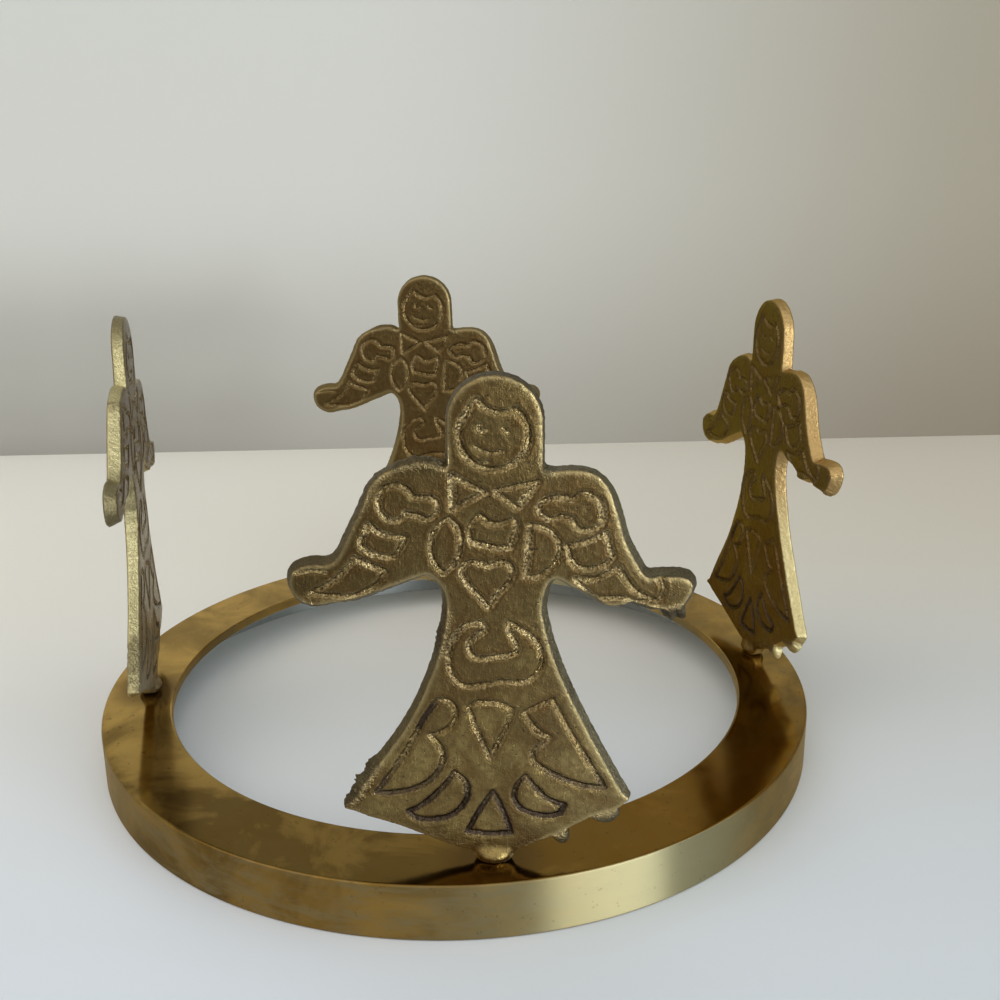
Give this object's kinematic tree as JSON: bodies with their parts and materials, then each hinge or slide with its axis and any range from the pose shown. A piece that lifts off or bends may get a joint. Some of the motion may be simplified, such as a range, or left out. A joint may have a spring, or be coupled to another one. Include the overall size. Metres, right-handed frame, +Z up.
{
  "type": "candle ring",
  "caption": "Flat polished brass ring that goes round the foot of a pillar candle, with flat cast angel figures standing on it, each turning on a screw from beneath.",
  "frame": {"origin": "middle of the ring's underside, on the surface it stands on", "axes": "+Z up out of the ring; -Y towards the front figure, +X towards the right figure"},
  "size_m": [0.12, 0.1214, 0.0723],
  "materials": {
    "ring_brass": "turned and polished, with light tarnish",
    "figure_brass": "cast, filed and rubbed to a satin, dulled with age",
    "screw_brass": "turned, plain"
  },
  "bodies": {
    "ring": {"ring_base": "ring_brass"},
    "front_figure": {"angel_front": "figure_brass", "screw_front": "screw_brass"},
    "right_figure": {"angel_right": "figure_brass", "screw_right": "screw_brass"},
    "back_figure": {"angel_back": "figure_brass", "screw_back": "screw_brass"},
    "left_figure": {"angel_left": "figure_brass", "screw_left": "screw_brass"}
  },
  "joints": [
    {"name": "front_swivel", "type": "hinge", "parent": "ring", "child": "front_figure", "pos_m": [0, -0.0545, 0.0082], "axis": [0, 0, 1], "continuous": true},
    {"name": "right_swivel", "type": "hinge", "parent": "ring", "child": "right_figure", "pos_m": [0.0544, 0, 0.0082], "axis": [0, 0, 1], "continuous": true},
    {"name": "back_swivel", "type": "hinge", "parent": "ring", "child": "back_figure", "pos_m": [0, 0.055, 0.0082], "axis": [0, 0, 1], "continuous": true},
    {"name": "left_swivel", "type": "hinge", "parent": "ring", "child": "left_figure", "pos_m": [-0.053, 0, 0.0082], "axis": [0, 0, 1], "continuous": true}
  ]
}
